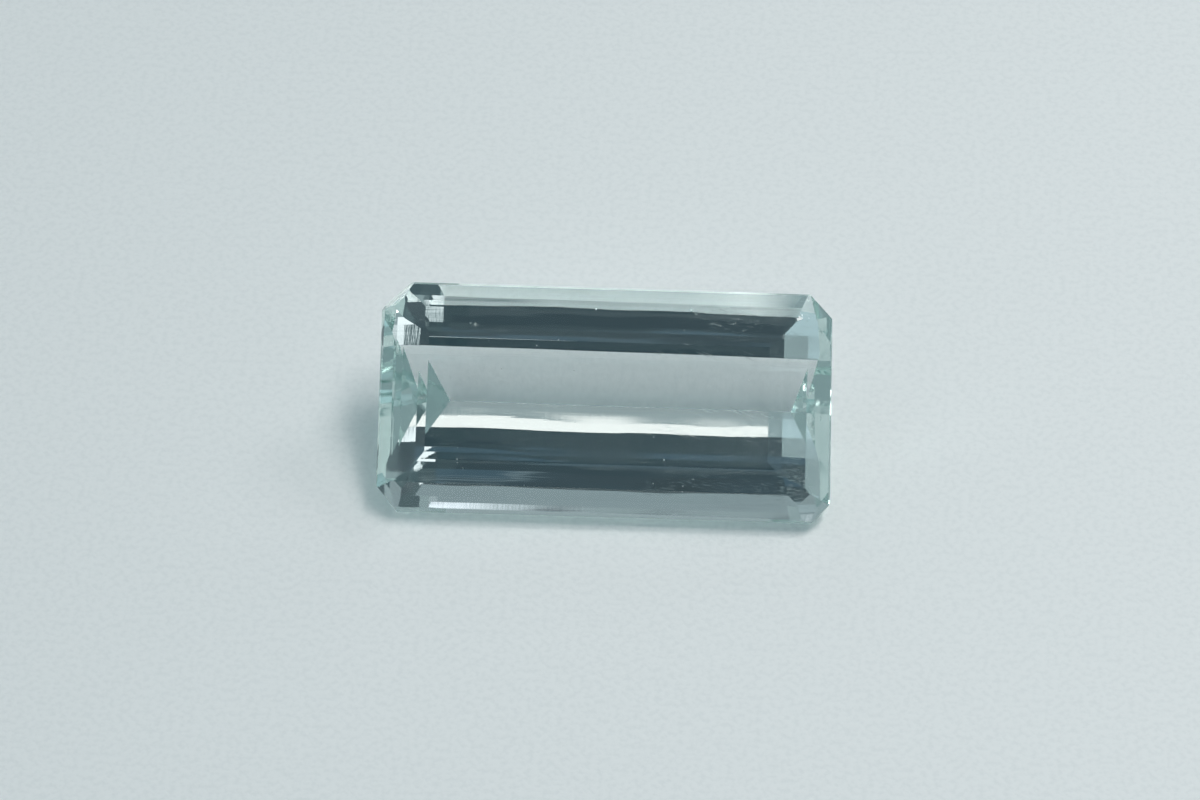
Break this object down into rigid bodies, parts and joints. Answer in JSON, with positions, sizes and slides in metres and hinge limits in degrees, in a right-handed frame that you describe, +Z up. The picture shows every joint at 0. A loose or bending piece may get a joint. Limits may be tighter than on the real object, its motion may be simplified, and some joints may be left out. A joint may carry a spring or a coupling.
{
  "type": "step-cut aquamarine gemstone",
  "caption": "Long octagonal step-cut aquamarine gemstone, clear pale blue-green, lying on a keel facet with its table tipped forward.",
  "frame": {"origin": "centre of the bounding box's underside, on the surface that the stone rests on", "axes": "+X along the keel, +Z up, -Y towards the front, the side that the table leans to"},
  "size_m": [0.0222, 0.0092, 0.0077],
  "materials": {
    "aquamarine": "polished"
  },
  "bodies": {
    "root": {"gemstone": "aquamarine"}
  },
  "joints": []
}
